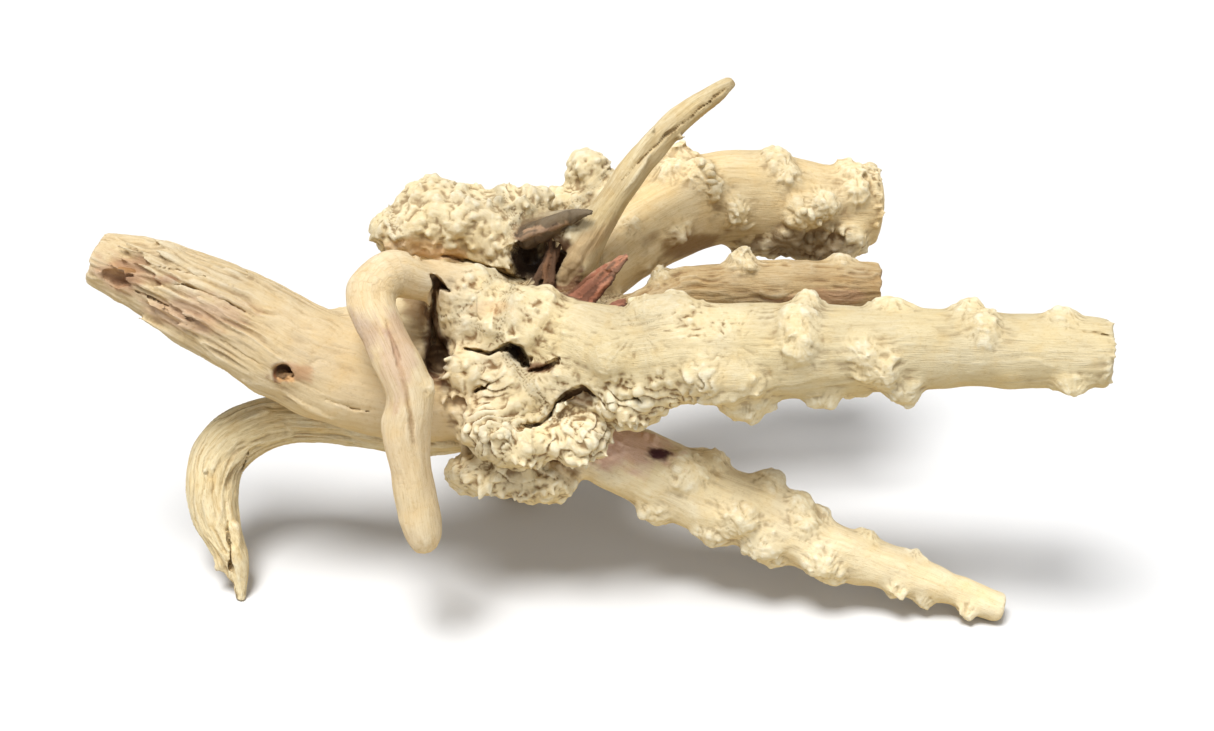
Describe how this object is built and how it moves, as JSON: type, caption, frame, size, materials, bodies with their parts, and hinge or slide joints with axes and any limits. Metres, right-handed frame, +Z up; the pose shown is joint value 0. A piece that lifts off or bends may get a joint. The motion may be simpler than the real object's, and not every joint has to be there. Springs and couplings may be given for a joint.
{
  "type": "spider wood",
  "caption": "Dry root crown with burls, sawn limbs, a thin twig and bent roots: branching driftwood that stands on its root tips as a tank or terrarium centrepiece.",
  "frame": {"origin": "on the floor, under the middle of the whole piece's box", "axes": "+X from the trunk's broken end towards the sawn main branch, +Y away from the side the picture shows, +Z up"},
  "size_m": [0.399, 0.175, 0.1953],
  "materials": {
    "crown_wood": "dry, matt, popcorn burl",
    "trunk_wood": "dry, matt, long grain",
    "front_root_wood": "dry, smooth, barkless",
    "hook_root_wood": "dry, matt, long grain",
    "rear_root_wood": "dry, matt, long grain",
    "main_branch_wood": "dry, matt, burl knobs",
    "lower_branch_wood": "dry, matt, burl knobs",
    "rear_branch_wood": "dry, matt, burl knobs",
    "slim_branch_wood": "dry, matt, long grain",
    "upright_twig_wood": "dry, matt, split along the grain"
  },
  "bodies": {
    "root": {"crown": "crown_wood", "trunk": "trunk_wood", "front_root": "front_root_wood", "hook_root": "hook_root_wood", "rear_root": "rear_root_wood", "main_branch": "main_branch_wood", "lower_branch": "lower_branch_wood", "rear_branch": "rear_branch_wood", "slim_branch": "slim_branch_wood", "upright_twig": "upright_twig_wood"}
  },
  "joints": []
}
